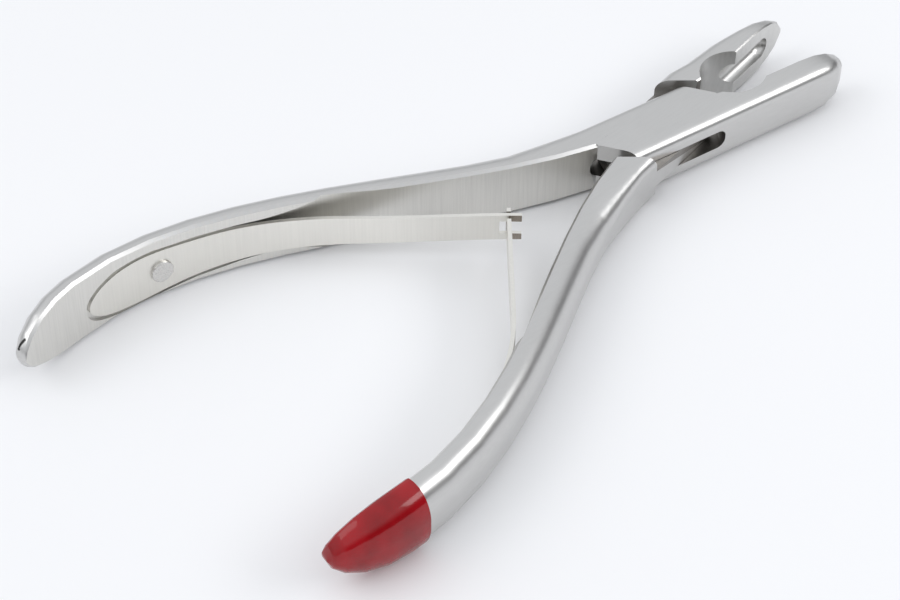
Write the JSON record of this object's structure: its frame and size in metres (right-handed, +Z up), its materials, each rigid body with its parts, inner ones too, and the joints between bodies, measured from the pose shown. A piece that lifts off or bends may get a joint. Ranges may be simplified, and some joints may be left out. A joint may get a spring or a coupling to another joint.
{
  "type": "bone rongeur",
  "caption": "Single-action bone rongeur: cupped jaws, pass-through box joint, curved handles sprung open by two interlocking leaf springs, red coated tip on one handle.",
  "frame": {"origin": "on the flat underside of the box joint, on the pivot axis", "axes": "+X along the instrument towards the jaws, +Y towards the handle of box_arm, +Z up along the pivot axis"},
  "size_m": [0.1572, 0.0779, 0.0132],
  "materials": {
    "instrument_steel": "satin, fine cross grain",
    "pin_steel": "ground flush",
    "spring_steel": "fine cross grain",
    "rivet_steel": "satin",
    "red_coating": "gloss, dipped"
  },
  "bodies": {
    "box_body": {"box_arm": "instrument_steel", "pivot_pin": "pin_steel", "rivet_fork_leaf": "rivet_steel"},
    "tongue_body": {"tongue_arm": "instrument_steel", "tip_coating": "red_coating", "rivet_hook_leaf": "rivet_steel"},
    "fork_leaf_body": {"leaf_spring_fork": "spring_steel"},
    "hook_leaf_body": {"leaf_spring_hook": "spring_steel"}
  },
  "joints": [
    {"name": "pivot", "type": "hinge", "parent": "box_body", "child": "tongue_body", "pos_m": [0, 0, 0], "axis": [0, 0, -1], "range_deg": [0, 18.6], "stiffness_Nm_per_rad": 2.2},
    {"name": "fork_leaf_bend", "type": "hinge", "parent": "box_body", "child": "fork_leaf_body", "pos_m": [-0.0759, 0.03135, 0.0055], "axis": [0, 0, 1], "range_deg": [0, 7.42], "deforming": ["leaf_spring_fork"]},
    {"name": "hook_leaf_bend", "type": "hinge", "parent": "tongue_body", "child": "hook_leaf_body", "pos_m": [-0.0759, -0.03135, 0.0055], "axis": [0, 0, -1], "range_deg": [0, 7.42], "deforming": ["leaf_spring_hook"]}
  ],
  "couplings": [
    {"joint": "fork_leaf_bend", "follows": "pivot", "ratio": 0.396},
    {"joint": "hook_leaf_bend", "follows": "pivot", "ratio": 0.396}
  ]
}
